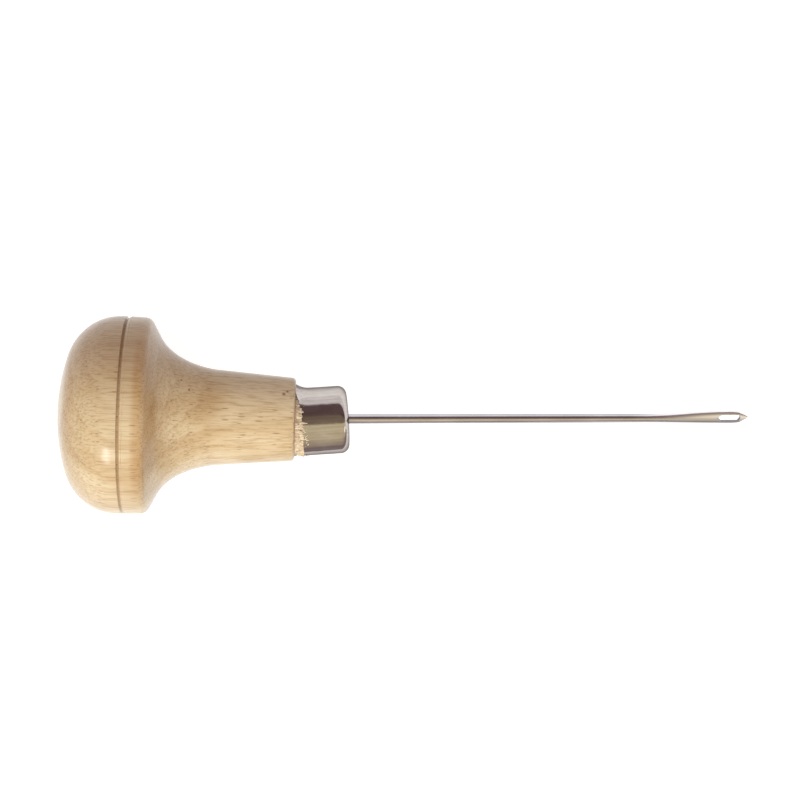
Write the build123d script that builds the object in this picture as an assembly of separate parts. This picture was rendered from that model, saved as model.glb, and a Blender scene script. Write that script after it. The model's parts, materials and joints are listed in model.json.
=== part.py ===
from build123d import *
import os
from math import asin, atan2, cos, degrees, hypot, radians, sin, tan

# Eyed stitching awl with a palm handle. Lengths are in millimetres and angles in degrees.
#
# Three pieces: a turned wooden handle, a drawn metal ferrule and an eyed blade.
# They are drawn along +X, with the crown of the palm end at the origin and the flat of the
# blade facing +Z. The finished awl is then laid down as it rests on a table, on the rim of
# its palm end and on the heel of its point, with the middle of its footprint at X = Y = 0.

# Palm end: a shallow dome that rolls over into a short, barrel-shaped rim
HEAD_RADIUS = 20.0
DOME_RADIUS = 40.0
DOME_DEPTH = 12.3          # from the crown to the widest circle
RIM_LENGTH = 4.7           # from the widest circle to the start of the rim's front corner
RIM_CROWN_RADIUS = 90.0
RIM_CORNER_RADIUS = 1.9
GROOVE_X = 13.65           # decorative V-groove round the widest part
GROOVE_WIDTH = 0.8
GROOVE_DEPTH = 0.4
GROOVE_STEEP_WALL = 0.2    # how far its bottom lies from its palm-side edge

# Flare, neck and shoulder
FLARE_ANGLE = 62.0         # the steep start of the hollow flare, from the awl's axis
FLARE_LENGTH = 3.1         # how far it runs straight
FLARE_PULL = 5.6           # how far the curve then runs on in its first direction
NECK_PULL = 2.4            # and in its last one
NECK_X = 32.0
NECK_RADIUS = 9.7
SHOULDER_X = 47.7
SHOULDER_RADIUS = 8.5
SHOULDER_EDGE_RADIUS = 0.8

# Ferrule: a deep cap, pressed on a little out of true
FERRULE_RADIUS = 6.9
FERRULE_LENGTH = 9.6
FERRULE_CORNER_RADIUS = 1.8
FERRULE_WALL = 0.7
FERRULE_CROWN = 0.25       # its front face bulges by this
FERRULE_LEAN = 5.2         # how far it points to the +Y side of the handle's axis

# Tenon in the ferrule, and the collar of torn wood between the ferrule and the shoulder
COLLAR_LENGTH = 1.4
TENON_CLEARANCE = 0.05
TENON_END_GAP = 0.3
TENON_ROOT = 6.0           # how far the tenon's cylinder runs back into the handle
COLLAR_STEP = 0.2          # the collar is this much larger than the ferrule at its mouth
COLLAR_FLARE = 1.0         # and grows by this much over half the tenon's root

# Blade
BLADE_ENTRY_DEPTH = 2.5    # how far behind the shoulder its line crosses the handle's axis
BLADE_LEAN = 1.7           # its angle to that axis, also to the +Y side
BLADE_REACH = 82.4         # from the ferrule's face to the point
SHANK_ROOT_RADIUS = 0.95
SHANK_END_RADIUS = 0.86
SHANK_SET = 14.0           # round shank behind the ferrule's face
SHANK_CLEARANCE = 0.08     # round the shank, in the ferrule's hole and in the wood
SPEAR_LENGTH = 22.0
SPEAR_WIDTH = 2.48
SPEAR_THICKNESS = 1.0
SPEAR_SHIFT = 0.2          # the spear lies this far to the +Y side of the shank's line
POINT_LENGTH = 1.9
POINT_BASE_WIDTH = 2.2
EYE_LENGTH = 4.7
EYE_WIDTH = 1.2
EYE_END_LENGTH = 0.6       # each end of the eye narrows to a corner over this length
EYE_TO_POINT = 1.5
TANG_LENGTH = 20.0
TANG_SIDE = 1.2
TANG_END_SIDE = 0.6
TANG_CLEARANCE = 0.05

# The blade's line and the ferrule's line meet in the middle of the ferrule's face.
FACE_X = SHOULDER_X + COLLAR_LENGTH + FERRULE_LENGTH
FACE_Y = (FACE_X - SHOULDER_X + BLADE_ENTRY_DEPTH) * tan(radians(BLADE_LEAN))
FERRULE_FRAME = Pos(FACE_X, FACE_Y, 0) * Rot(0, 0, FERRULE_LEAN)
BLADE_FRAME = Pos(FACE_X, FACE_Y, 0) * Rot(0, 0, BLADE_LEAN)


def slope(angle):
    """The direction of an outline that falls towards the awl's axis at this angle."""
    return Vector(cos(radians(angle)), -sin(radians(angle)))


def outward(angle):
    """The outward normal of an outline that falls at this angle."""
    return Vector(sin(radians(angle)), cos(radians(angle)))


def arc(centre, radius, start, end):
    """An arc of an outline between two slopes, from the palm end towards the point."""
    middle = (start + end) / 2
    points = [centre + outward(angle) * radius for angle in (start, middle, end)]
    return ThreePointArc(*points)


def turned(edges):
    """The solid that an outline, closed along the X axis, sweeps round that axis."""
    return revolve(make_face(edges), Axis.X)


# Rim corner: its centre also sets the angle at which the awl rests.
RIM_SLOPE = degrees(asin(RIM_LENGTH / RIM_CROWN_RADIUS))
RIM_CROWN_CENTRE = Vector(DOME_DEPTH, HEAD_RADIUS - RIM_CROWN_RADIUS)
RIM_CORNER_CENTRE = RIM_CROWN_CENTRE + outward(RIM_SLOPE) * (RIM_CROWN_RADIUS - RIM_CORNER_RADIUS)


def brow_radius():
    """The radius that joins the dome smoothly to the widest circle."""
    run = DOME_RADIUS - DOME_DEPTH
    return (DOME_RADIUS**2 - run**2 - HEAD_RADIUS**2) / (2 * (DOME_RADIUS - HEAD_RADIUS))


def handle_outline():
    """The handle's outline, from the crown of the palm end to the shoulder."""
    brow = brow_radius()
    brow_centre = Vector(DOME_DEPTH, HEAD_RADIUS - brow)
    dome_centre = Vector(DOME_RADIUS, 0)
    join = -degrees(atan2(DOME_RADIUS - DOME_DEPTH, HEAD_RADIUS - brow))
    neck_slope = degrees(atan2(NECK_RADIUS - SHOULDER_RADIUS, SHOULDER_X - NECK_X))
    flare_start = RIM_CORNER_CENTRE + outward(FLARE_ANGLE) * RIM_CORNER_RADIUS
    flare_end = flare_start + slope(FLARE_ANGLE) * FLARE_LENGTH
    neck = Vector(NECK_X, NECK_RADIUS)
    edge_centre = Vector(SHOULDER_X, SHOULDER_RADIUS) + Vector(-1, -1) * SHOULDER_EDGE_RADIUS
    taper_end = edge_centre + outward(neck_slope) * SHOULDER_EDGE_RADIUS
    shoulder = edge_centre + outward(90) * SHOULDER_EDGE_RADIUS
    return [
        arc(dome_centre, DOME_RADIUS, -90, join),
        arc(brow_centre, brow, join, 0),
        arc(RIM_CROWN_CENTRE, RIM_CROWN_RADIUS, 0, RIM_SLOPE),
        arc(RIM_CORNER_CENTRE, RIM_CORNER_RADIUS, RIM_SLOPE, FLARE_ANGLE),
        Line(flare_start, flare_end),
        Bezier(
            flare_end,
            flare_end + slope(FLARE_ANGLE) * FLARE_PULL,
            neck - slope(neck_slope) * NECK_PULL,
            neck,
        ),
        Line(neck, taper_end),
        arc(edge_centre, SHOULDER_EDGE_RADIUS, neck_slope, 90),
        Line(shoulder, (SHOULDER_X, 0)),
        Line((SHOULDER_X, 0), (0, 0)),
    ]


def groove():
    """The ring that the V-groove takes out of the rim: steep on the palm side."""
    left = GROOVE_X - GROOVE_WIDTH / 2
    right = GROOVE_X + GROOVE_WIDTH / 2
    bottom = left + GROOVE_STEEP_WALL
    corners = [
        (2 * left - bottom, HEAD_RADIUS + GROOVE_DEPTH),
        (bottom, HEAD_RADIUS - GROOVE_DEPTH),
        (2 * right - bottom, HEAD_RADIUS + GROOVE_DEPTH),
    ]
    return revolve(make_face(Polyline(*corners, close=True)), Axis.X)


def tenon():
    """The tenon and the torn collar round its root, in the ferrule's frame."""
    inner = FERRULE_RADIUS - FERRULE_WALL
    radius = inner - TENON_CLEARANCE
    front = -FERRULE_CROWN - FERRULE_WALL - TENON_END_GAP
    chamfer = FERRULE_CORNER_RADIUS - FERRULE_WALL
    back = -FERRULE_LENGTH - TENON_ROOT
    mouth = FERRULE_RADIUS + COLLAR_STEP
    corners = [
        (back, 0),
        (back, radius),
        (-FERRULE_LENGTH - TENON_ROOT / 2, mouth + COLLAR_FLARE),
        (-FERRULE_LENGTH, mouth),
        (-FERRULE_LENGTH, radius),
        (front - chamfer, radius),
        (front, radius - chamfer),
        (front, 0),
    ]
    return revolve(make_face(Polyline(*corners, close=True)), Axis.X)


def tang(grow):
    """The square tang, or its bore when grown by a clearance, in the blade's frame."""
    root = Plane.YZ.offset(-SHANK_SET) * Rectangle(TANG_SIDE + 2 * grow, TANG_SIDE + 2 * grow)
    end_side = TANG_END_SIDE + 2 * grow
    end = Plane.YZ.offset(-SHANK_SET - TANG_LENGTH - grow) * Rectangle(end_side, end_side)
    return loft([root, end])


def shank(radius, end_radius, start, end):
    """A round stretch of the blade, in the blade's frame."""
    corners = [(start, 0), (start, radius), (end, end_radius), (end, 0)]
    return revolve(make_face(Polyline(*corners, close=True)), Axis.X)


def palm_handle():
    """The turned handle, with its groove, tenon and bore."""
    body = turned(handle_outline()) - groove() + FERRULE_FRAME * tenon()
    hole = SHANK_ROOT_RADIUS + SHANK_CLEARANCE
    bore = shank(hole, hole, -SHANK_SET, FERRULE_CROWN) + tang(TANG_CLEARANCE)
    return body - BLADE_FRAME * bore


def ferrule():
    """The drawn cap: a cylinder with a rounded front corner and a slightly domed face."""
    flat_radius = FERRULE_RADIUS - FERRULE_CORNER_RADIUS
    corner_centre = Vector(-FERRULE_CROWN - FERRULE_CORNER_RADIUS, flat_radius)
    rear = Vector(-FERRULE_LENGTH, FERRULE_RADIUS)
    face_edge = corner_centre + outward(90) * FERRULE_CORNER_RADIUS
    shell = turned([
        Line(rear, corner_centre + outward(0) * FERRULE_CORNER_RADIUS),
        arc(corner_centre, FERRULE_CORNER_RADIUS, 0, 90),
        ThreePointArc(face_edge, (-FERRULE_CROWN / 4, flat_radius / 2), (0, 0)),
        Line((0, 0), (-FERRULE_LENGTH, 0)),
        Line((-FERRULE_LENGTH, 0), rear),
    ])
    inner_corner = FERRULE_CORNER_RADIUS - FERRULE_WALL
    inside_start = Vector(-FERRULE_LENGTH, FERRULE_RADIUS - FERRULE_WALL)
    inside_face = -FERRULE_CROWN - FERRULE_WALL
    inside = turned([
        Line(inside_start, corner_centre + outward(0) * inner_corner),
        arc(corner_centre, inner_corner, 0, 90),
        Line(corner_centre + outward(90) * inner_corner, (inside_face, 0)),
        Line((inside_face, 0), (-FERRULE_LENGTH, 0)),
        Line((-FERRULE_LENGTH, 0), inside_start),
    ])
    hole = SHANK_ROOT_RADIUS + SHANK_CLEARANCE
    drilled = shank(hole, hole, -FERRULE_LENGTH, FERRULE_CROWN)
    return FERRULE_FRAME * (shell - inside) - BLADE_FRAME * drilled


def section(x, width, thickness, shift):
    """An oval section of the spear."""
    return Plane.YZ.offset(x) * Pos(shift, 0) * Ellipse(width / 2, thickness / 2)


def spear():
    """The flattened end of the blade: swells from the round shank, then narrows to the point."""
    start = BLADE_REACH - SPEAR_LENGTH
    widest = BLADE_REACH - EYE_TO_POINT - EYE_LENGTH / 2
    base = BLADE_REACH - POINT_LENGTH
    middle = (start + widest) / 2
    middle_width = (2 * SHANK_END_RADIUS + SPEAR_WIDTH) / 2
    middle_thickness = (2 * SHANK_END_RADIUS + SPEAR_THICKNESS) / 2
    swell = loft([
        section(start, 2 * SHANK_END_RADIUS, 2 * SHANK_END_RADIUS, 0),
        section(middle, middle_width, middle_thickness, SPEAR_SHIFT / 2),
        section(widest, SPEAR_WIDTH, SPEAR_THICKNESS, SPEAR_SHIFT),
        section(base, POINT_BASE_WIDTH, SPEAR_THICKNESS, SPEAR_SHIFT),
    ])
    point = loft([
        section(base, POINT_BASE_WIDTH, SPEAR_THICKNESS, SPEAR_SHIFT).face(),
        Vertex(BLADE_REACH, SPEAR_SHIFT, 0),
    ])
    return swell + point


def eye():
    """The cutter of the thread eye: a slot with a corner at each end, through the flat."""
    half_length = EYE_LENGTH / 2
    half_width = EYE_WIDTH / 2
    straight = half_length - EYE_END_LENGTH
    outline = Polyline(
        (-half_length, 0),
        (-straight, half_width),
        (straight, half_width),
        (half_length, 0),
        (straight, -half_width),
        (-straight, -half_width),
        close=True,
    )
    centre = BLADE_REACH - EYE_TO_POINT - half_length
    depth = 2 * SPEAR_THICKNESS
    return Pos(centre, SPEAR_SHIFT, -depth / 2) * extrude(make_face(outline), depth)


def eyed_blade():
    """The blade: tang, round shank, spear and eye, in one piece of steel."""
    straight = shank(SHANK_ROOT_RADIUS, SHANK_ROOT_RADIUS, -SHANK_SET, 0)
    taper = shank(SHANK_ROOT_RADIUS, SHANK_END_RADIUS, 0, BLADE_REACH - SPEAR_LENGTH)
    return BLADE_FRAME * (tang(0) + straight + taper + spear() - eye())


def resting_place(pieces):
    """Lays the awl on a table, on its rim and on the heel of its point, and points it along +X."""
    point = (BLADE_FRAME * Pos(BLADE_REACH, SPEAR_SHIFT, 0)).position
    heel = (BLADE_FRAME * Pos(BLADE_REACH - POINT_LENGTH, 0, -SPEAR_THICKNESS / 2)).position
    heading = degrees(atan2(point.Y, point.X))
    run = heel.X - RIM_CORNER_CENTRE.X
    drop = heel.Z + RIM_CORNER_CENTRE.Y
    tilt = degrees(asin(RIM_CORNER_RADIUS / hypot(run, drop)) + atan2(drop, run))
    lean = Rot(0, tilt, 0) * Rot(0, 0, -heading)
    box = Compound(children=[lean * piece for piece in pieces.values()]).bounding_box()
    middle = box.center()
    return Pos(-middle.X, -middle.Y, -box.min.Z) * lean


def report_mounts(place):
    """Prints the places that a stranger fastens to, in the awl's resting frame."""
    stretch = FERRULE_LENGTH - FERRULE_CROWN - FERRULE_CORNER_RADIUS
    seats = {
        "ferrule": FERRULE_FRAME * Pos(stretch / 2 - FERRULE_LENGTH, 0, 0),
        "handle axis": Pos(NECK_X, 0, 0),
        "eye": BLADE_FRAME * Pos(BLADE_REACH - EYE_TO_POINT - EYE_LENGTH / 2, SPEAR_SHIFT, 0),
    }
    print(f"ferrule's cylindrical stretch: radius {FERRULE_RADIUS}, length {stretch:.2f}")
    for name, seat in seats.items():
        placed = place * seat
        along = (placed * Pos(1, 0, 0)).position - placed.position
        up = (placed * Pos(0, 0, 1)).position - placed.position
        print(name, tuple(placed.position), "along", tuple(along), "up", tuple(up))


def main():
    pieces = {
        "palm_handle": palm_handle(),
        "ferrule": ferrule(),
        "eyed_blade": eyed_blade(),
    }
    place = resting_place(pieces)
    os.makedirs("parts", exist_ok=True)
    for name, piece in pieces.items():
        export_step(place * piece, f"parts/{name}.step")
    report_mounts(place)


main()
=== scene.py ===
import json
import math
import random

import bmesh
import bpy
import numpy as np
from mathutils import Matrix, Vector, noise

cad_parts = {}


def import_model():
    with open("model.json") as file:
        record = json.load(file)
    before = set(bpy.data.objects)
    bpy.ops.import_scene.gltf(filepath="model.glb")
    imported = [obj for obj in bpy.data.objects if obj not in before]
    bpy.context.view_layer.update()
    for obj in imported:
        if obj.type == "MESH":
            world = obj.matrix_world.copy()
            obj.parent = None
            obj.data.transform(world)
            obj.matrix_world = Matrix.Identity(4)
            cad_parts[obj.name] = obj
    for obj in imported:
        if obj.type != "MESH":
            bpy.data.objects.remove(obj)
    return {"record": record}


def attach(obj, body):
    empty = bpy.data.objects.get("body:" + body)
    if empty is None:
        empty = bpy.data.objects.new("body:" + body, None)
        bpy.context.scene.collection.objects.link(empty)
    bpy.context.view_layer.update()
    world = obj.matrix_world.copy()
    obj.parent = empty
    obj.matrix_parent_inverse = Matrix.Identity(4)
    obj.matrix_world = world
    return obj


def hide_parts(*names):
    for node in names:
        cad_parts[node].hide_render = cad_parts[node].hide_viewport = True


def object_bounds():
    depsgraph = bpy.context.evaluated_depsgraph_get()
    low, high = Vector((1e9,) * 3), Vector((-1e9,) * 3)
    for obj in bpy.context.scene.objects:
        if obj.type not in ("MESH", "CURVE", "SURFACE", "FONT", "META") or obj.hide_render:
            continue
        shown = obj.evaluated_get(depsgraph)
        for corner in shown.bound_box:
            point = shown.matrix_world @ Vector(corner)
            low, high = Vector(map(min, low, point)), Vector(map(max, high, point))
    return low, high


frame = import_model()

# An eyed stitching awl with a palm handle, lying on a pale table. Lengths are in metres.
CAD_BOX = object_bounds()
MM = 0.001

# ---------------------------------------------------------------- sizes, as in the CAD model
HEAD_RADIUS = 20.0 * MM
DOME_RADIUS = 40.0 * MM
DOME_DEPTH = 12.3 * MM
RIM_LENGTH = 4.7 * MM
RIM_CROWN_RADIUS = 90.0 * MM
RIM_CORNER_RADIUS = 1.9 * MM
GROOVE_X = 13.65 * MM
GROOVE_WIDTH = 0.8 * MM
GROOVE_DEPTH = 0.4 * MM
GROOVE_STEEP_WALL = 0.2 * MM
FLARE_ANGLE = 62.0
FLARE_LENGTH = 3.1 * MM
FLARE_PULL = 5.6 * MM
NECK_PULL = 2.4 * MM
NECK_X = 32.0 * MM
NECK_RADIUS = 9.7 * MM
SHOULDER_X = 47.7 * MM
SHOULDER_RADIUS = 8.5 * MM
SHOULDER_EDGE_RADIUS = 0.8 * MM
FERRULE_LENGTH = 9.6 * MM
FERRULE_CORNER_RADIUS = 1.8 * MM
FERRULE_WALL = 0.7 * MM
FERRULE_CROWN = 0.25 * MM
TENON_CLEARANCE = 0.05 * MM
TENON_END_GAP = 0.3 * MM
TENON_ROOT = 6.0 * MM
COLLAR_STEP = 0.2 * MM
COLLAR_FLARE = 1.0 * MM
BLADE_LEAN = 1.7
BLADE_REACH = 82.4 * MM
SHANK_ROOT_RADIUS = 0.95 * MM
SHANK_END_RADIUS = 0.86 * MM
SHANK_SET = 14.0 * MM
SHANK_CLEARANCE = 0.08 * MM
SPEAR_LENGTH = 22.0 * MM
SPEAR_WIDTH = 2.48 * MM
SPEAR_THICKNESS = 1.0 * MM
SPEAR_SHIFT = 0.2 * MM
POINT_LENGTH = 1.9 * MM
POINT_BASE_WIDTH = 2.2 * MM
EYE_LENGTH = 4.7 * MM
EYE_WIDTH = 1.2 * MM
EYE_END_LENGTH = 0.6 * MM
EYE_TO_POINT = 1.5 * MM
TANG_LENGTH = 20.0 * MM
TANG_SIDE = 1.2 * MM
TANG_END_SIDE = 0.6 * MM

# ---------------------------------------------------------------- sizes that only the visual model has
AXIS_RING = 0.002 * MM            # the first ring of a turned outline, next to its axis
GROOVE_GROWTH = 0.35              # how much the groove's width and depth vary round the rim
GROOVE_GROWTH_TURN = 20.0         # degrees
SECOND_LINE_OFFSET = 0.35 * MM    # the faint line beside the groove
SECOND_LINE_HALF_WIDTH = 0.12 * MM
SECOND_LINE_DEPTH = 0.06 * MM
HANDLE_UNEVEN = ((0.05 * MM, 9 * MM, 0.0), (0.012 * MM, 2.2 * MM, 7.0))      # height, size, seed
FERRULE_DENTS = ((0.018 * MM, 3.2 * MM, 31.0), (0.004 * MM, 1.1 * MM, 37.0))
METAL_FLARE_AT = -72.0            # degrees round the ferrule where its mouth is flared out
METAL_FLARE_WIDTH = 62.0
METAL_FLARE = 1.25 * MM
METAL_FLARE_LENGTH = 2.2 * MM
COLLAR_STEP_LENGTH = 0.2 * MM
COLLAR_TUCK = 0.75 * MM           # how far the torn collar draws in on one side
COLLAR_TUCK_LENGTH = 1.4 * MM
FIBRE_SEED = 7
FIBRE_COUNT = 130
MOUTH_SPLINTER_COUNT = 26
SPEAR_ROLL = 14.0                 # degrees that the flat of the spear is turned on the shank
ROUND = 2.0                       # a section's power: 2 is round, and more is squarer
SQUARE = 9.0
SPEAR_POWER = 0.55                # what the flat of the spear adds to it
EYE_WAIST_SHORTER = 0.15 * MM     # the eye's waist is smaller than its mouths, at each end
EYE_WAIST_NARROWER = 0.03 * MM
EYE_SET_BACK = 0.4 * MM
EYE_ASIDE = 0.12 * MM

# ---------------------------------------------------------------- the awl's own axes, from the record
MOUNTS = {mount["name"]: mount for mount in frame["record"]["mounts"]}
FERRULE_RADIUS = MOUNTS["ferrule_outside"]["dims"]["r_mm"] * MM
UP = Vector(MOUNTS["thread_eye"]["axis"]).normalized()


def axes_at(origin, along):
    """A local frame: X along the awl, Z out of the flat of the blade."""
    x = along.normalized()
    y = UP.cross(x)
    turn = Matrix((x, y, UP)).transposed().to_4x4()
    return Matrix.Translation(origin) @ turn


def handle_axes():
    """The handle's frame, with its origin at the crown of the palm end."""
    along = Vector(MOUNTS["rack_seat"]["axis"])
    return axes_at(Vector(MOUNTS["rack_seat"]["pos_m"]) - along * NECK_X, along)


def ferrule_axes():
    """The ferrule's frame, with its origin in the middle of its front face."""
    mount = MOUNTS["ferrule_outside"]
    along = Vector(mount["axis"])
    to_face = mount["dims"]["length_mm"] * MM / 2 + FERRULE_CORNER_RADIUS + FERRULE_CROWN
    return axes_at(Vector(mount["pos_m"]) + along * to_face, along)


HANDLE = handle_axes()
FERRULE = ferrule_axes()
BLADE = axes_at(
    FERRULE.translation,
    Matrix.Rotation(math.radians(BLADE_LEAN), 3, UP) @ HANDLE.to_3x3().col[0],
)


# ---------------------------------------------------------------- outlines and meshes
def outward(angle):
    """The outward normal of an outline that falls towards the axis at this angle, in degrees."""
    return np.array([math.sin(math.radians(angle)), math.cos(math.radians(angle))])


def slope(angle):
    return np.array([math.cos(math.radians(angle)), -math.sin(math.radians(angle))])


def arc(centre, radius, start, end, count):
    """Points of an outline's arc between two slopes."""
    return [np.array(centre) + outward(a) * radius for a in np.linspace(start, end, count)]


def bezier(a, b, c, d, count):
    steps = np.linspace(0, 1, count)
    return [
        (1 - t) ** 3 * a + 3 * (1 - t) ** 2 * t * b + 3 * (1 - t) * t**2 * c + t**3 * d
        for t in steps
    ]


def line(start, end, count):
    return [np.array(start) + (np.array(end) - start) * t for t in np.linspace(0, 1, count)]


def joined(*stretches):
    """One outline from stretches that each start where the last one ends."""
    points = list(stretches[0])
    for stretch in stretches[1:]:
        points += list(stretch)[1:]
    return points


def add_object(name, vertices, faces, axes, smooth=True):
    """A mesh object in the row frame, from points in a local frame."""
    mesh = bpy.data.meshes.new(name)
    mesh.from_pydata([axes @ Vector(v) for v in vertices], [], faces)
    mesh.validate()
    made = bmesh.new()
    made.from_mesh(mesh)
    bmesh.ops.recalc_face_normals(made, faces=made.faces)
    made.to_mesh(mesh)
    made.free()
    if smooth:
        mesh.shade_smooth()
    else:
        mesh.shade_flat()
    piece = bpy.data.objects.new(name, mesh)
    bpy.context.scene.collection.objects.link(piece)
    return piece


def skin(rings, closed=False):
    """Faces between rings of equally many points; the first and last rings are capped by a fan."""
    count = len(rings[0])
    vertices = [tuple(point) for ring in rings for point in ring]
    faces = []
    pairs = len(rings) if closed else len(rings) - 1
    for i in range(pairs):
        low, high = i * count, (i + 1) % len(rings) * count
        for j in range(count):
            k = (j + 1) % count
            faces.append((low + j, low + k, high + k, high + j))
    if not closed:
        for ring, turn in ((0, 1), (len(rings) - 1, -1)):
            middle = len(vertices)
            vertices.append(tuple(np.mean(rings[ring], axis=0)))
            start = ring * count
            for j in range(count):
                edge = (start + j, start + (j + 1) % count)
                faces.append((middle, *edge[::turn]))
    return vertices, faces


def turned(name, outline, axes, segments, shape=None, closed=False):
    """A turned piece. shape(x, r, angle) may move each point; angle 0 faces +Z and grows to -Y."""
    angles = np.linspace(0, 2 * math.pi, segments, endpoint=False)
    rings = []
    for x, r in outline:
        ring = []
        for angle in angles:
            px, pr = shape(x, r, angle) if shape else (x, r)
            ring.append((px, -pr * math.sin(angle), pr * math.cos(angle)))
        rings.append(ring)
    vertices, faces = skin(rings, closed)
    return add_object(name, vertices, faces, axes)


def round_noise(x, angle, radius, size, seed=0.0):
    """Smooth noise, about -1 to 1, on a surface of this radius, with features of this size."""
    place = Vector((x, radius * math.cos(angle), radius * math.sin(angle))) / size
    return noise.noise(place + Vector((seed, 0, 0)))


def unevenness(table, x, angle, radius):
    """The sum of a table's noises, each of a height, a size and a seed."""
    return sum(height * round_noise(x, angle, radius, size, seed) for height, size, seed in table)


def facing(angle, centre, width):
    """1 at this angle round the awl, falling smoothly to 0 a width away, all in degrees."""
    away = abs((math.degrees(angle) - centre + 180) % 360 - 180)
    share = max(0.0, 1 - away / width)
    return share * share * (3 - 2 * share)


def mark_sharp(piece, angle):
    """Edges that turn by more than this angle, in degrees, are shaded sharp."""
    made = bmesh.new()
    made.from_mesh(piece.data)
    for edge in made.edges:
        edge.smooth = edge.calc_face_angle(0) < math.radians(angle)
    made.to_mesh(piece.data)
    made.free()


# ---------------------------------------------------------------- handle
def handle_outline():
    """The handle's outline, from the crown of the palm end to the middle of the shoulder."""
    run = DOME_RADIUS - DOME_DEPTH
    brow = (DOME_RADIUS**2 - run**2 - HEAD_RADIUS**2) / (2 * (DOME_RADIUS - HEAD_RADIUS))
    join = -math.degrees(math.atan2(run, HEAD_RADIUS - brow))
    rim_slope = math.degrees(math.asin(RIM_LENGTH / RIM_CROWN_RADIUS))
    crown_centre = np.array([DOME_DEPTH, HEAD_RADIUS - RIM_CROWN_RADIUS])
    corner_centre = crown_centre + outward(rim_slope) * (RIM_CROWN_RADIUS - RIM_CORNER_RADIUS)
    flare = corner_centre + outward(FLARE_ANGLE) * RIM_CORNER_RADIUS
    flare_end = flare + slope(FLARE_ANGLE) * FLARE_LENGTH
    neck = np.array([NECK_X, NECK_RADIUS])
    neck_slope = math.degrees(math.atan2(NECK_RADIUS - SHOULDER_RADIUS, SHOULDER_X - NECK_X))
    edge = np.array([SHOULDER_X, SHOULDER_RADIUS]) - SHOULDER_EDGE_RADIUS
    taper_end = edge + outward(neck_slope) * SHOULDER_EDGE_RADIUS
    shoulder = edge + outward(90) * SHOULDER_EDGE_RADIUS
    crown = -90 + math.degrees(AXIS_RING / DOME_RADIUS)
    return joined(
        arc((DOME_RADIUS, 0), DOME_RADIUS, crown, join, 60),
        arc((DOME_DEPTH, HEAD_RADIUS - brow), brow, join, 0, 60),
        arc(crown_centre, RIM_CROWN_RADIUS, 0, rim_slope, 110),
        arc(corner_centre, RIM_CORNER_RADIUS, rim_slope, FLARE_ANGLE, 14),
        line(flare, flare_end, 22),
        bezier(flare_end, flare_end + slope(FLARE_ANGLE) * FLARE_PULL,
               neck - slope(neck_slope) * NECK_PULL, neck, 60),
        line(neck, taper_end, 40),
        arc(edge, SHOULDER_EDGE_RADIUS, neck_slope, 90, 10),
        line(shoulder, (SHOULDER_X, AXIS_RING), 6),
    )


def groove_depth(x, angle):
    """How deep the V-groove and the faint second line beside it are here."""
    grow = 0.95 + GROOVE_GROWTH * math.sin(-angle + math.radians(GROOVE_GROWTH_TURN))
    left = GROOVE_X - GROOVE_WIDTH / 2
    bottom = left + GROOVE_STEEP_WALL
    right = left + GROOVE_WIDTH * grow
    if left < x < bottom:
        depth = (x - left) / (bottom - left)
    elif bottom <= x < right:
        depth = (right - x) / (right - bottom)
    else:
        depth = 0
    from_second = abs(x - right - SECOND_LINE_OFFSET)
    second = max(0.0, 1 - from_second / SECOND_LINE_HALF_WIDTH) * SECOND_LINE_DEPTH
    return depth * GROOVE_DEPTH * grow + second


def handle_shape(x, r, angle):
    """The groove, and the slight unevenness of hand turning and sanding."""
    uneven = unevenness(HANDLE_UNEVEN, x, angle, HEAD_RADIUS)
    fade = min(1.0, r / (3 * MM))
    on_rim = r > 0.9 * HEAD_RADIUS
    return x, r - groove_depth(x, angle) * on_rim + uneven * fade


# ---------------------------------------------------------------- torn wood at the ferrule's mouth
def collar_outline():
    """The tenon inside the ferrule, and the torn collar behind its mouth, in the ferrule's frame."""
    radius = FERRULE_RADIUS - FERRULE_WALL - TENON_CLEARANCE
    front = -FERRULE_CROWN - FERRULE_WALL - TENON_END_GAP
    chamfer = FERRULE_CORNER_RADIUS - FERRULE_WALL
    back = -FERRULE_LENGTH - TENON_ROOT / 2
    mouth = FERRULE_RADIUS + COLLAR_STEP
    step_end = -FERRULE_LENGTH + COLLAR_STEP_LENGTH
    return joined(
        line((back, AXIS_RING), (back, mouth + COLLAR_FLARE), 6),
        line((back, mouth + COLLAR_FLARE), (-FERRULE_LENGTH, mouth), 44),
        line((-FERRULE_LENGTH, mouth), (step_end, radius), 10),
        line((step_end, radius), (front - chamfer, radius), 10),
        line((front - chamfer, radius), (front, radius - chamfer), 4),
        line((front, radius - chamfer), (front, AXIS_RING), 4),
    )


def collar_tuck(behind, angle):
    """How far the collar draws in here, this far behind the ferrule's mouth."""
    return COLLAR_TUCK * max(0.0, math.sin(angle)) * min(1.0, behind / COLLAR_TUCK_LENGTH)


def collar_shape(x, r, angle):
    """Lumps and slits of torn fibre; less where the metal is flared over them."""
    inside = FERRULE_RADIUS - FERRULE_WALL
    if r <= inside:
        return x, r
    r -= collar_tuck(max(0.0, -FERRULE_LENGTH - x), angle)
    calm = 1 - 0.85 * facing(angle, METAL_FLARE_AT, METAL_FLARE_WIDTH)
    lumps = round_noise(x * 0.4, angle, FERRULE_RADIUS, 1.1 * MM, 3.0)
    fine = round_noise(x * 0.7, angle, FERRULE_RADIUS, 0.45 * MM, 11.0)
    slits = -abs(round_noise(x * 0.3, angle, FERRULE_RADIUS, 0.7 * MM, 19.0))
    push = (0.16 * lumps + 0.14 * fine + 0.75 * slits) * calm * MM
    edge = 0.22 * MM * calm * round_noise(0, angle, FERRULE_RADIUS, 0.5 * MM, 23.0)
    near_mouth = max(0.0, 1 - abs(x + FERRULE_LENGTH) / (0.8 * MM))
    return x + edge * near_mouth, max(r + push, inside)


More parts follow.
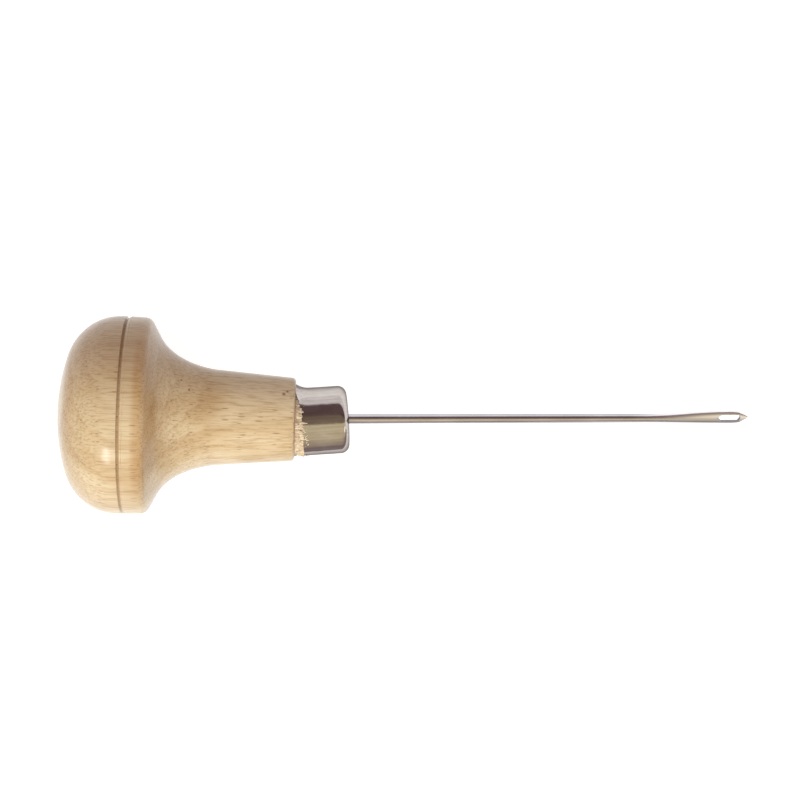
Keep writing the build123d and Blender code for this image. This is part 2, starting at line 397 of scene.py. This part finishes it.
def splinter(vertices, faces, root, along, side, length, width, curl):
    """One torn fibre: a thin pointed strip that starts at root and curls to its side."""
    out = along.cross(side).normalized()
    start = len(vertices)
    steps = 4
    for i in range(steps + 1):
        t = i / steps
        centre = root + along * length * t + out * curl * length * t * t
        half = width / 2 * (1 - 0.8 * t)
        thick = width * 0.22 * (1 - 0.6 * t)
        for s, u in ((-1, 0), (0, 1), (1, 0), (0, -1)):
            vertices.append(centre + side * half * s + out * thick * u)
    for i in range(steps):
        low = start + 4 * i
        for j in range(4):
            k = (j + 1) % 4
            faces.append((low + j, low + k, low + 4 + k, low + 4 + j))
    faces.append(tuple(start + j for j in (3, 2, 1, 0)))
    faces.append(tuple(start + 4 * steps + j for j in range(4)))


def round_directions(angle):
    """The directions outwards and round the awl at this angle."""
    outwards = Vector((0, -math.sin(angle), math.cos(angle)))
    round_way = Vector((0, -math.cos(angle), -math.sin(angle)))
    return outwards, round_way


def torn_fibres():
    """The loose shavings of the handle's wood round the collar, and small splinters on the metal."""
    draw = random.Random(FIBRE_SEED)
    vertices, faces = [], []
    for _ in range(FIBRE_COUNT):
        angle = math.radians(draw.uniform(-180, 180))
        if draw.random() < 1.15 * facing(angle, METAL_FLARE_AT, METAL_FLARE_WIDTH):
            continue
        x = -FERRULE_LENGTH + draw.uniform(-1.5, 0.05) * MM
        back = -FERRULE_LENGTH - x
        radius = FERRULE_RADIUS + COLLAR_STEP + COLLAR_FLARE * back / (TENON_ROOT / 2) - 0.15 * MM
        radius -= collar_tuck(back, angle)
        outwards, round_way = round_directions(angle)
        lift = draw.uniform(-0.1, 0.3)
        swing = draw.gauss(0, 0.55)
        along = (Vector((1, 0, 0)) + outwards * lift + round_way * swing).normalized()
        if draw.random() < 0.25:
            along.x = -along.x
        side = along.cross(outwards).normalized()
        root = Vector((x, 0, 0)) + outwards * radius
        length = draw.choice((0.35, 0.5, 0.6, 0.8, 1.0)) * MM * draw.uniform(0.7, 1.2)
        splinter(vertices, faces, root, along, side, length,
                 draw.uniform(0.2, 0.55) * MM, draw.uniform(-0.35, 0.2))
    for _ in range(MOUTH_SPLINTER_COUNT):
        outwards, round_way = round_directions(math.radians(draw.gauss(26, 9)))
        root = Vector((-FERRULE_LENGTH + draw.uniform(-0.3, 0.9) * MM, 0, 0))
        root += outwards * (FERRULE_RADIUS + 0.03 * MM)
        along = (Vector((1, 0, 0)) + round_way * draw.gauss(0, 0.9)).normalized()
        splinter(vertices, faces, root, along, along.cross(outwards).normalized(),
                 draw.uniform(0.2, 0.6) * MM, draw.uniform(0.12, 0.3) * MM, 0.1)
    return add_object("torn_fibres", vertices, faces, FERRULE, smooth=False)


# ---------------------------------------------------------------- ferrule
def ferrule_outline():
    """The cap's closed section: outside from mouth to hole, then back along the inside."""
    corner = np.array([-FERRULE_CROWN - FERRULE_CORNER_RADIUS, FERRULE_RADIUS - FERRULE_CORNER_RADIUS])
    inner_corner = FERRULE_CORNER_RADIUS - FERRULE_WALL
    hole = SHANK_ROOT_RADIUS + SHANK_CLEARANCE
    inside = FERRULE_RADIUS - FERRULE_WALL
    inner_face = -FERRULE_CROWN - FERRULE_WALL
    face_edge = corner + outward(90) * FERRULE_CORNER_RADIUS
    bulge = [
        (-FERRULE_CROWN * (r / face_edge[1]) ** 2, r)
        for r in np.linspace(face_edge[1], hole + 0.08 * MM, 30)
    ]
    hole_edge = (-0.1 * MM, hole)
    mouth_outside = (-FERRULE_LENGTH, FERRULE_RADIUS)
    mouth_middle = (-FERRULE_LENGTH - 0.05 * MM, FERRULE_RADIUS - 0.2 * MM)
    mouth_inside = (-FERRULE_LENGTH, inside)
    return joined(
        line(mouth_outside, corner + outward(0) * FERRULE_CORNER_RADIUS, 70),
        arc(corner, FERRULE_CORNER_RADIUS, 0, 90, 26),
        bulge,
        line(bulge[-1], hole_edge, 3),
        line(hole_edge, (inner_face, hole), 5),
        line((inner_face, hole), corner + outward(90) * inner_corner, 8),
        arc(corner, inner_corner, 90, 0, 8),
        line(corner + outward(0) * inner_corner, mouth_inside, 20),
        line(mouth_inside, mouth_middle, 4),
        line(mouth_middle, mouth_outside, 4),
    )[:-1]


def ferrule_shape(x, r, angle):
    """Faint dents, a mouth that is nibbled, and flared out over the wood on one side."""
    dents = unevenness(FERRULE_DENTS, x, angle, FERRULE_RADIUS)
    mouth = max(0.0, 1 - (x + FERRULE_LENGTH) / METAL_FLARE_LENGTH)
    flare = facing(angle, METAL_FLARE_AT, METAL_FLARE_WIDTH)
    nibble = 0.1 * MM * round_noise(0, angle, FERRULE_RADIUS, 0.9 * MM, 41.0)
    px = x - mouth**2 * (METAL_FLARE * flare + nibble)
    pr = r + mouth**3 * (METAL_FLARE * flare + 0.05 * MM) + dents * min(1, r / (3 * MM)) ** 2
    return px, pr


# ---------------------------------------------------------------- blade
def smoothstep(t):
    t = min(1.0, max(0.0, t))
    return t * t * (3 - 2 * t)


def blade_section(x):
    """Half width, half thickness, shift, squareness and roll of the blade at x from the ferrule."""
    spear = BLADE_REACH - SPEAR_LENGTH
    widest = BLADE_REACH - EYE_TO_POINT - EYE_LENGTH * 0.45
    base = BLADE_REACH - POINT_LENGTH
    if x < -SHANK_SET:
        t = (-SHANK_SET - x) / TANG_LENGTH
        half = (TANG_SIDE + (TANG_END_SIDE - TANG_SIDE) * t) / 2
        return half, half, 0.0, SQUARE, 0.0
    if x < spear:
        t = max(0.0, x / spear)
        half = SHANK_ROOT_RADIUS + (SHANK_END_RADIUS - SHANK_ROOT_RADIUS) * t
        return half, half, 0.0, ROUND, 0.0
    t = (x - spear) / (widest - spear)
    flat = smoothstep(t)
    width = SHANK_END_RADIUS + (SPEAR_WIDTH / 2 - SHANK_END_RADIUS) * flat ** 1.15
    thick = SHANK_END_RADIUS + (SPEAR_THICKNESS / 2 - SHANK_END_RADIUS) * smoothstep(t * 1.25)
    power = ROUND + SPEAR_POWER * flat
    shift = SPEAR_SHIFT * flat
    if x > widest:
        t = (x - widest) / (base - widest)
        width = (SPEAR_WIDTH - (SPEAR_WIDTH - POINT_BASE_WIDTH) * min(t, 1.0) ** 2) / 2
    if x > base:
        t = (x - base) / POINT_LENGTH
        width = POINT_BASE_WIDTH / 2 * (1 - t) ** 0.8
        thick *= 1 - 0.92 * t
        power = ROUND + SPEAR_POWER - 0.6 * t
    return width, thick, shift, power, SPEAR_ROLL * flat


def blade_mesh():
    """The blade as one skin over its sections, before the thread eye is cut through it."""
    places = np.concatenate([
        np.linspace(-SHANK_SET - TANG_LENGTH, -SHANK_SET - 0.02 * MM, 10),
        np.linspace(-SHANK_SET, 0, 8),
        np.linspace(0.5 * MM, BLADE_REACH - SPEAR_LENGTH, 70),
        np.linspace(BLADE_REACH - SPEAR_LENGTH + 0.3 * MM, BLADE_REACH - POINT_LENGTH, 80),
        np.linspace(BLADE_REACH - POINT_LENGTH + 0.04 * MM, BLADE_REACH - 0.01 * MM, 30),
    ])
    rings = []
    for x in places:
        width, thick, shift, power, roll = blade_section(x)
        turn_c = math.cos(math.radians(roll))
        turn_s = math.sin(math.radians(roll))
        ring = []
        for angle in np.linspace(0, 2 * math.pi, 64, endpoint=False):
            c, s = math.cos(angle), math.sin(angle)
            y = math.copysign(abs(c) ** (2 / power), c) * width
            z = math.copysign(abs(s) ** (2 / power), s) * thick
            ring.append((x, y * turn_c - z * turn_s + shift, y * turn_s + z * turn_c))
        rings.append(ring)
    vertices, faces = skin(rings)
    return add_object("eyed_blade_polished", vertices, faces, BLADE)


def eye_cutter():
    """An hourglass-shaped cutter: the eye's mouths are larger than its waist."""
    half_length = EYE_LENGTH / 2 - EYE_WAIST_SHORTER
    half_width = EYE_WIDTH / 2 - EYE_WAIST_NARROWER
    straight = half_length - EYE_END_LENGTH
    corners = [(-half_length, 0), (-straight, half_width), (half_length - 0.1 * MM, half_width),
               (half_length, half_width * 0.4), (straight + 0.1 * MM, -half_width),
               (-straight, -half_width)]
    centre = BLADE_REACH - EYE_TO_POINT - half_length - EYE_SET_BACK
    rings = []
    for z in np.linspace(-1, 1, 17) * SPEAR_THICKNESS * 0.75:
        spread = 0.9 * MM * (abs(z) / SPEAR_THICKNESS) ** 2
        rings.append([
            (centre + x + math.copysign(spread * 1.6, x) * (abs(x) > straight * 1.01),
             SPEAR_SHIFT - EYE_ASIDE + y + math.copysign(spread * 0.25, y) * (y != 0), z)
            for x, y in corners
        ])
    vertices, faces = skin(rings)
    roll = Matrix.Rotation(math.radians(SPEAR_ROLL), 4, "X")
    return add_object("eye_cutter", vertices, faces, BLADE @ roll, smooth=False)


def eyed_blade():
    """The blade with its eye cut out."""
    piece = blade_mesh()
    cutter = eye_cutter()
    cut = piece.modifiers.new("eye", "BOOLEAN")
    cut.operation = "DIFFERENCE"
    cut.object = cutter
    cut.solver = "EXACT"
    graph = bpy.context.evaluated_depsgraph_get()
    piece.data = bpy.data.meshes.new_from_object(piece.evaluated_get(graph))
    piece.modifiers.clear()
    bpy.data.objects.remove(cutter)
    piece.data.shade_smooth()
    mark_sharp(piece, 32)
    return piece


# ---------------------------------------------------------------- materials
def srgb(red, green, blue):
    """A colour given as 0 to 255 display values, as the linear colour that nodes take."""
    def linear(value):
        value /= 255
        return value / 12.92 if value <= 0.04045 else ((value + 0.055) / 1.055) ** 2.4
    return (linear(red), linear(green), linear(blue), 1.0)


class Nodes:
    """A node tree, with short ways to add the nodes that the materials and the world share."""

    def __init__(self, tree):
        self.tree = tree

    def add(self, kind):
        return self.tree.nodes.new(kind)

    def link(self, source, target):
        self.tree.links.new(source, target)

    def put(self, value, socket):
        """A link, or a constant, into a socket."""
        if isinstance(value, bpy.types.NodeSocket):
            self.link(value, socket)
        else:
            socket.default_value = value

    def math(self, operation, a, b=0.0, c=0.0):
        made = self.add("ShaderNodeMath")
        made.operation = operation
        for value, socket in zip((a, b, c), made.inputs):
            self.put(value, socket)
        return made.outputs[0]

    def split(self, vector):
        made = self.add("ShaderNodeSeparateXYZ")
        self.link(vector, made.inputs[0])
        return made.outputs

    def noise(self, vector, detail=2.0, distortion=0.0, roughness=0.5, scale=1.0):
        made = self.add("ShaderNodeTexNoise")
        self.link(vector, made.inputs["Vector"])
        made.inputs["Scale"].default_value = scale
        made.inputs["Detail"].default_value = detail
        made.inputs["Roughness"].default_value = roughness
        made.inputs["Distortion"].default_value = distortion
        return made.outputs["Fac"]

    def cells(self, vector):
        """Distance to the nearest cell point, and that cell's random colour."""
        made = self.add("ShaderNodeTexVoronoi")
        self.link(vector, made.inputs["Vector"])
        made.inputs["Scale"].default_value = 1.0
        return made.outputs["Distance"], made.outputs["Color"]

    def remap(self, value, low, high, out_low=0.0, out_high=1.0):
        made = self.add("ShaderNodeMapRange")
        made.interpolation_type = "SMOOTHSTEP"
        for socket, number in zip(made.inputs, (value, low, high, out_low, out_high)):
            self.put(number, socket)
        return made.outputs[0]

    def ramp(self, value, stops):
        made = self.add("ShaderNodeValToRGB")
        self.put(value, made.inputs[0])
        elements = made.color_ramp.elements
        while len(elements) < len(stops):
            elements.new(0.5)
        for element, (place, colour) in zip(elements, stops):
            element.position = place
            element.color = colour
        return made.outputs[0]

    def mix(self, factor, a, b, blend="MIX"):
        made = self.add("ShaderNodeMix")
        made.data_type = "RGBA"
        made.blend_type = blend
        self.put(factor, made.inputs[0])
        self.put(a, made.inputs[6])
        self.put(b, made.inputs[7])
        return made.outputs[2]


class Shader(Nodes):
    """A node material. With axes, it has the awl's own coordinates: local, and x, y and z."""

    def __init__(self, name, axes=None):
        self.material = bpy.data.materials.new(name)
        self.material.use_nodes = True
        super().__init__(self.material.node_tree)
        self.surface = self.tree.nodes["Principled BSDF"]
        if axes is not None:
            self.local = self.add("ShaderNodeMapping")
            self.local.vector_type = "TEXTURE"
            self.local.inputs["Location"].default_value = axes.translation
            self.local.inputs["Rotation"].default_value = axes.to_euler()
            coordinates = self.add("ShaderNodeTexCoord")
            self.link(coordinates.outputs["Object"], self.local.inputs["Vector"])
            self.x, self.y, self.z = self.split(self.local.outputs[0])

    def stretched(self, along, across):
        """The awl's own coordinates, scaled to cells this long along it and this wide across it."""
        made = self.add("ShaderNodeVectorMath")
        made.operation = "MULTIPLY"
        self.link(self.local.outputs[0], made.inputs[0])
        made.inputs[1].default_value = (1 / along, 1 / across, 1 / across)
        return made.outputs[0]

    def near(self, place, radius):
        """1 at a place, in the awl's own coordinates, falling to 0 this far from it."""
        made = self.add("ShaderNodeVectorMath")
        made.operation = "DISTANCE"
        self.link(self.local.outputs[0], made.inputs[0])
        made.inputs[1].default_value = place
        return self.remap(made.outputs["Value"], radius, 0.4 * radius)

    def bump(self, height, distance, strength=1.0):
        """A bump of this height, in metres, on top of any earlier one."""
        made = self.add("ShaderNodeBump")
        made.inputs["Strength"].default_value = strength
        made.inputs["Distance"].default_value = distance
        self.link(height, made.inputs["Height"])
        normal = self.surface.inputs["Normal"]
        if normal.is_linked:
            self.link(normal.links[0].from_socket, made.inputs["Normal"])
        self.link(made.outputs[0], normal)

    def set(self, **values):
        for name, value in values.items():
            self.put(value, self.surface.inputs[name.replace("_", " ")])


PITH_Y = -0.034           # the middle of the tree, in the handle's frame
PITH_Z = -0.058
RING_WIDTH = 0.0026
RING_WANDER = 0.006


def wood_fields(s):
    """The wood's growth rings, fine fibres and short dark flecks, each 0 to 1."""
    from_pith_y = s.math("ADD", s.y, -PITH_Y)
    from_pith_z = s.math("ADD", s.z, -PITH_Z)
    wander = s.noise(s.stretched(0.05, 0.012), 3.0)
    squares = s.math("ADD", s.math("MULTIPLY", from_pith_y, from_pith_y),
                     s.math("MULTIPLY", from_pith_z, from_pith_z))
    from_pith = s.math("ADD", s.math("SQRT", squares), s.math("MULTIPLY", wander, RING_WANDER))
    rings = s.math("FRACT", s.math("MULTIPLY", from_pith, 1 / RING_WIDTH))
    fibres = s.noise(s.stretched(0.009, 0.00035), 3.0, 0.2, 0.62)
    distance, cell = s.cells(s.stretched(0.0034, 0.00040))
    red = s.add("ShaderNodeSeparateColor")
    s.link(cell, red.inputs[0])
    size = s.remap(red.outputs[0], 0.55, 1.0, 0.0, 0.36)
    flecks = s.math("SUBTRACT", 1.0, s.math("DIVIDE", distance, s.math("ADD", size, 0.001)))
    flecks = s.remap(flecks, 0.0, 0.5)
    return rings, fibres, flecks


# Two pin knots in the neck and a bruise at the shoulder: place along the awl, aside, and radius
WOOD_MARKS = (
    (25.0 * MM, 7.3 * MM, 0.30 * MM),
    (26.6 * MM, 5.4 * MM, 0.34 * MM),
    (45.3 * MM, 5.1 * MM, 0.50 * MM),
    (46.0 * MM, 5.6 * MM, 0.34 * MM),
)


def on_upper_side(x, y):
    """The point of the handle's upper surface over this place."""
    places, radii = zip(*handle_outline())
    radius = float(np.interp(x, places, radii))
    return x, y, math.sqrt(radius**2 - y**2)


def wood_colour(s, rings, fibres, flecks, marks):
    """Pale wood, with painted shade that makes one side darker and pinker; darker end grain, with
    painted shade, on the dome's end and the flare; darker in the groove, partly painted shade; dark at
    the shoulder.
    """
    broad = s.noise(s.stretched(0.022, 0.009), 2.0, 0.5)
    base = s.ramp(broad, [(0.3, srgb(195, 169, 133)), (0.5, srgb(210, 190, 157)),
                          (0.72, srgb(222, 206, 177))])
    late = s.ramp(rings, [(0.0, (1, 1, 1, 1)), (0.55, srgb(250, 246, 240)),
                          (0.9, srgb(236, 224, 208)), (1.0, (1, 1, 1, 1))])
    colour = s.mix(0.45, base, late, "MULTIPLY")
    streaks = s.ramp(fibres, [(0.3, srgb(190, 166, 138)), (0.54, (1, 1, 1, 1))])
    colour = s.mix(0.6, colour, streaks, "MULTIPLY")
    # Painted shade: the +y side of the handle is darker and pinker.
    painted_side_shade = s.remap(s.math("ADD", s.y, s.math("MULTIPLY", broad, 0.012)),
                        6 * MM, 20 * MM)
    colour = s.mix(painted_side_shade, colour, srgb(216, 202, 195), "MULTIPLY")
    # Painted shade with darker end grain: the dome's end and the flare are darker on their upper side.
    on_flare = s.math("MULTIPLY", s.remap(s.x, 15.5 * MM, 17 * MM), s.remap(s.x, 27 * MM, 19 * MM))
    end_grain_shade = s.math("MAXIMUM", s.remap(s.x, 6 * MM, 2 * MM), on_flare)
    end_grain_shade = s.math("MULTIPLY", end_grain_shade, s.remap(s.z, 11 * MM, 17 * MM))
    colour = s.mix(end_grain_shade, colour, srgb(238, 224, 208), "MULTIPLY")
    fewer_on_dome = s.remap(s.x, 0.0, 12 * MM, 0.35, 0.62)
    colour = s.mix(s.math("MULTIPLY", flecks, fewer_on_dome), colour, srgb(124, 82, 50))
    # Painted shade in the groove's recess, partly a real dark line: the groove is darkened brown.
    in_groove = s.remap(s.math("ABSOLUTE", s.math("SUBTRACT", s.x, GROOVE_X)),
                        0.38 * MM, 0.14 * MM)
    colour = s.mix(s.math("MULTIPLY", in_groove, 0.5), colour, srgb(128, 90, 56))
    edge = s.remap(s.x, SHOULDER_X - 0.45 * MM, SHOULDER_X - 0.05 * MM)
    colour = s.mix(s.math("MULTIPLY", edge, 0.6), colour, srgb(150, 104, 66))
    return s.mix(s.math("MULTIPLY", marks, 0.75), colour, srgb(104, 72, 54))


def wood_material():
    """Lacquered wood, with open pores and the faint lines of turning."""
    s = Shader("lacquered_pale_wood", HANDLE)
    rings, fibres, flecks = wood_fields(s)
    marks = 0.0
    for x, y, radius in WOOD_MARKS:
        marks = s.math("MAXIMUM", marks, s.near(on_upper_side(x, y), radius))
    s.set(Base_Color=wood_colour(s, rings, fibres, flecks, marks),
          Roughness=s.remap(fibres, 0.3, 0.7, 0.42, 0.30),
          Coat_Weight=0.65, Coat_Roughness=0.17, Coat_IOR=1.4, Specular_IOR_Level=0.12)
    s.bump(s.math("SUBTRACT", 1.0, flecks), 0.05 * MM, 0.35)
    s.bump(s.math("SUBTRACT", 1.0, marks), 0.1 * MM, 0.5)
    s.bump(fibres, 0.02 * MM, 0.5)
    turning = s.add("ShaderNodeTexWave")
    turning.bands_direction = "X"
    s.link(s.stretched(0.001, 0.02), turning.inputs["Vector"])
    turning.inputs["Scale"].default_value = 0.9
    turning.inputs["Distortion"].default_value = 1.5
    s.bump(turning.outputs["Fac"], 0.004 * MM, 0.5)
    return s.material


def torn_wood_material():
    """Bare, broken fibres: paler and rough, dark in the slits."""
    s = Shader("torn_bare_wood", FERRULE)
    fibres = s.noise(s.stretched(0.0012, 0.00022), 3.0, 0.4, 0.65)
    patches = s.noise(s.stretched(0.0007, 0.0006), 2.0)
    colour = s.ramp(fibres, [(0.30, srgb(84, 64, 52)), (0.42, srgb(188, 166, 144)),
                             (0.52, srgb(228, 212, 186)), (0.8, srgb(240, 231, 212))])
    colour = s.mix(s.remap(patches, 0.52, 0.66, 0.0, 0.4), colour, srgb(186, 158, 130))
    s.set(Base_Color=colour, Roughness=s.remap(fibres, 0.3, 0.7, 0.9, 0.6), Specular_IOR_Level=0.25)
    s.bump(fibres, 0.08 * MM, 0.8)
    return s.material


def ferrule_material():
    """Bright plate with drawn lines along the awl, smudges, and a little rust at the mouth."""
    s = Shader("nickel_plate", FERRULE)
    drawn = s.noise(s.stretched(0.02, 0.00016), 3.0)
    lines = s.noise(s.stretched(0.016, 0.0005), 3.0, 0.1, 0.6)
    smudge = s.noise(s.stretched(0.004, 0.0022), 3.0, 0.6)
    colour = s.ramp(smudge, [(0.35, srgb(184, 178, 174)), (0.65, srgb(194, 190, 188))])
    colour = s.mix(0.4, colour, s.ramp(lines, [(0.36, srgb(222, 216, 214)), (0.56, (1, 1, 1, 1))]),
                   "MULTIPLY")
    specks = s.noise(s.stretched(0.0006, 0.0005), 4.0, 0.2, 0.7)
    at_mouth = s.remap(s.x, -FERRULE_LENGTH + 2.4 * MM, -FERRULE_LENGTH, 0.0, 1.0)
    rust = s.math("MULTIPLY", s.remap(specks, 0.56, 0.68), at_mouth)
    colour = s.mix(s.math("MULTIPLY", rust, 0.75), colour, srgb(122, 92, 66))
    rough = s.math("ADD", s.remap(smudge, 0.35, 0.75, 0.07, 0.15), s.math("MULTIPLY", rust, 0.3))
    s.set(Base_Color=colour, Metallic=1.0, Roughness=rough, Anisotropic=0.3,
          Specular_Tint=(0.3, 0.28, 0.3, 1))
    s.bump(drawn, 0.003 * MM, 0.5)
    s.bump(smudge, 0.008 * MM, 0.2)
    return s.material


def blade_material():
    """Polished steel with fine lines along it; a painted highlight makes the upper side of the spear
    brighter.
    """
    s = Shader("polished_steel", BLADE)
    drawn = s.noise(s.stretched(0.012, 0.00012), 3.0)
    cloud = s.noise(s.stretched(0.006, 0.0012), 3.0, 0.5)
    colour = s.ramp(cloud, [(0.3, srgb(188, 186, 193)), (0.7, srgb(202, 201, 209))])
    spear = s.remap(s.x, BLADE_REACH - 1.2 * SPEAR_LENGTH, BLADE_REACH - 3 * EYE_LENGTH)
    # Painted highlight: the spear's upper side is painted brighter, darker towards its lower edge.
    highlight_across = s.remap(s.y, SPEAR_SHIFT - 1.15 * MM, SPEAR_SHIFT + 0.85 * MM)
    painted_highlight = s.ramp(highlight_across, [(0.0, srgb(168, 168, 174)), (0.35, srgb(202, 202, 214)),
                            (0.6, srgb(244, 244, 255)), (1.0, srgb(250, 250, 255))])
    colour = s.mix(spear, colour, painted_highlight)
    rough = s.math("ADD", s.remap(cloud, 0.3, 0.8, 0.12, 0.22), s.math("MULTIPLY", spear, 0.16))
    s.set(Base_Color=colour, Metallic=1.0, Roughness=rough, Specular_Tint=(0.02, 0.02, 0.02, 1))
    s.bump(drawn, 0.002 * MM, 0.5)
    s.bump(cloud, 0.01 * MM, 0.3)
    return s.material


# ---------------------------------------------------------------- stage, light and camera
FLOOR_HALF_SIZE = 3.0
CAMERA_DISTANCE = 0.380
CAMERA_FOCAL_PIXELS = 1860.0     # for an image 800 pixels wide
CAMERA_LEAN = 5.76               # degrees from straight down, towards the point of the blade
CAMERA_ROLL = 0.35
CAMERA_AIM_SHARE = 0.4895        # where it aims, from the crown of the handle to the point
CAMERA_AIM_ASIDE = 3.06 * MM
IMAGE_SIZE = 800.0
SENSOR_WIDTH = 36.0

CARD_Y = -31 * MM
CARD_TOP = 25 * MM
CARD_START = -35 * MM
CARD_END = 85 * MM

# The room across the awl: degrees from straight up, towards -Y, and the colour there
ROOM_BANDS = (
    (-90, (240, 233, 231)),
    (-60, (236, 229, 228)),
    (-56, (104, 84, 85)),
    (-22, (104, 85, 83)),
    (-14, (134, 117, 102)),
    (11, (140, 123, 104)),
    (13, (226, 212, 175)),
    (60, (224, 208, 174)),
    (76, (206, 190, 166)),
    (90, (177, 168, 166)),
)
ROOM_WALLS = (242, 236, 234)
ROOM_BELOW = (150, 147, 146)
ROOM_STRENGTH = 1.18

# Name, direction from the awl, distance, size, watts, colour, and whether the metal mirrors it
LIGHTS = (
    ("window", (-0.17, -0.72, 0.70), 1.6, (0.36, 0.46), 8.5, (1.0, 0.99, 0.97), True),
    ("side_window", (0.90, -0.40, 0.22), 0.5, (0.16, 0.10), 0.06, (1.0, 0.98, 0.94), True),
    ("fill", (0.0, -0.18, 1.0), 2.0, (1.6, 1.6), 19.5, (0.96, 0.99, 1.0), False),
)


def stage_sheet(name, corners, material):
    """A flat four-cornered stage item."""
    mesh = bpy.data.meshes.new(name)
    mesh.from_pydata(corners, [], [(0, 1, 2, 3)])
    mesh.materials.append(material)
    piece = bpy.data.objects.new(name, mesh)
    bpy.context.scene.collection.objects.link(piece)
    return piece


def floor():
    """A wide pale table, lit so evenly that it stays almost white."""
    s = Shader("pale_table")
    coordinates = s.add("ShaderNodeTexCoord")
    grain = s.noise(coordinates.outputs["Object"], 3.0, scale=40)
    s.set(Base_Color=s.ramp(grain, [(0.3, (0.36, 0.36, 0.36, 1)), (0.7, (0.38, 0.38, 0.38, 1))]),
          Roughness=0.8, Emission_Color=(1, 1, 1, 1), Emission_Strength=0.88)
    size = FLOOR_HALF_SIZE
    corners = [(-size, -size, 0), (size, -size, 0), (size, size, 0), (-size, size, 0)]
    piece = stage_sheet("floor", corners, s.material)
    piece.visible_diffuse = False     # the wood's sides are lit by the world's dimmer lower half


def reflection_card():
    """A low grey card beside the awl, unseen by the camera, which shows only in reflections."""
    s = Shader("grey_card", Matrix.Identity(4))
    grade = s.ramp(s.remap(s.z, 0.0, CARD_TOP), [
        (0.0, srgb(164, 152, 154)), (0.5, srgb(164, 146, 144)), (1.0, srgb(214, 198, 170))])
    s.set(Base_Color=(0.0, 0.0, 0.0, 1), Roughness=1.0, Specular_IOR_Level=0.0,
          Emission_Color=grade, Emission_Strength=1.0)
    corners = [(CARD_START, CARD_Y, MM), (CARD_END, CARD_Y, MM),
               (CARD_END, CARD_Y, CARD_TOP), (CARD_START, CARD_Y, CARD_TOP)]
    piece = stage_sheet("reflection_card", corners, s.material)
    piece.visible_camera = False
    piece.visible_shadow = False
    piece.visible_diffuse = False


def world():
    """A pale room with a darker, warm ceiling, which the bright metal mirrors in bands, dim below."""
    made = bpy.data.worlds.new("room")
    bpy.context.scene.world = made
    made.use_nodes = True
    n = Nodes(made.node_tree)
    background = n.tree.nodes["Background"]
    _, y, z = n.split(n.add("ShaderNodeTexCoord").outputs["Generated"])
    across = n.math("ARCTAN2", n.math("MULTIPLY", y, -1.0), z)
    turn = n.math("MULTIPLY_ADD", across, 1 / math.pi, 0.5)
    bands = n.ramp(turn, [((degrees + 90) / 180, srgb(*colour)) for degrees, colour in ROOM_BANDS])
    room = n.mix(n.remap(z, 0.14, 0.22), srgb(*ROOM_WALLS), bands)
    room = n.mix(n.remap(z, -0.04, -0.12), room, srgb(*ROOM_BELOW))
    n.link(room, background.inputs[0])
    background.inputs[1].default_value = ROOM_STRENGTH


def area_light(aim, name, direction, distance, size, watts, colour, mirrored):
    data = bpy.data.lights.new(name, "AREA")
    data.shape = "RECTANGLE"
    data.size, data.size_y = size
    data.energy = watts
    data.color = colour
    lamp = bpy.data.objects.new(name, data)
    bpy.context.scene.collection.objects.link(lamp)
    direction = Vector(direction).normalized()
    lamp.location = aim + direction * distance
    lamp.visible_glossy = mirrored
    lamp.visible_camera = False
    lamp.rotation_mode = "QUATERNION"
    lamp.rotation_quaternion = direction.to_track_quat("Z", "Y")


def lights():
    lo, hi = CAD_BOX
    for light in LIGHTS:
        area_light((lo + hi) / 2, *light)


def camera():
    """Looks down on the awl, from as near as a hand-held camera would."""
    data = bpy.data.cameras.new("camera")
    data.sensor_width = SENSOR_WIDTH
    data.lens = SENSOR_WIDTH * CAMERA_FOCAL_PIXELS / IMAGE_SIZE
    data.clip_start = 0.01
    data.clip_end = 20
    made = bpy.data.objects.new("camera", data)
    bpy.context.scene.collection.objects.link(made)
    lean = math.radians(CAMERA_LEAN)
    back = Vector((math.sin(lean), 0, math.cos(lean)))
    crown = HANDLE.translation
    point = BLADE @ Vector((BLADE_REACH, SPEAR_SHIFT, 0))
    aim = crown.lerp(point, CAMERA_AIM_SHARE) + Vector((0, CAMERA_AIM_ASIDE, 0))
    roll = Matrix.Rotation(math.radians(CAMERA_ROLL), 3, back)
    right = roll @ Vector((math.cos(lean), 0, -math.sin(lean)))
    upward = back.cross(right)
    turn = Matrix((right, upward, back)).transposed().to_4x4()
    made.matrix_world = Matrix.Translation(aim + back * CAMERA_DISTANCE) @ turn
    bpy.context.scene.camera = made


# ---------------------------------------------------------------- assembly
def finished(piece, material, slot, *nodes):
    """Gives a piece its material, hangs it on the root body and hides the CAD nodes that it stands for;
    slot is not used.
    """
    piece.data.materials.clear()
    piece.data.materials.append(material)
    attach(piece, "root")
    if nodes:
        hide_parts(*nodes)


def build():
    wood = wood_material()
    torn = torn_wood_material()
    handle = turned("palm_handle_turned", handle_outline(), HANDLE, 320, handle_shape)
    mark_sharp(handle, 28)
    finished(handle, wood, "handle_wood", "palm_handle")
    collar = turned("torn_collar", collar_outline(), FERRULE, 420, collar_shape)
    finished(collar, torn, "handle_wood")
    finished(torn_fibres(), torn, "handle_wood")
    cap = turned("ferrule_drawn", ferrule_outline(), FERRULE, 256, ferrule_shape, closed=True)
    mark_sharp(cap, 35)
    finished(cap, ferrule_material(), "ferrule_metal", "ferrule")
    finished(eyed_blade(), blade_material(), "blade_steel", "eyed_blade")


build()
floor()
reflection_card()
world()
lights()
camera()
bpy.context.scene.view_settings.view_transform = "Standard"
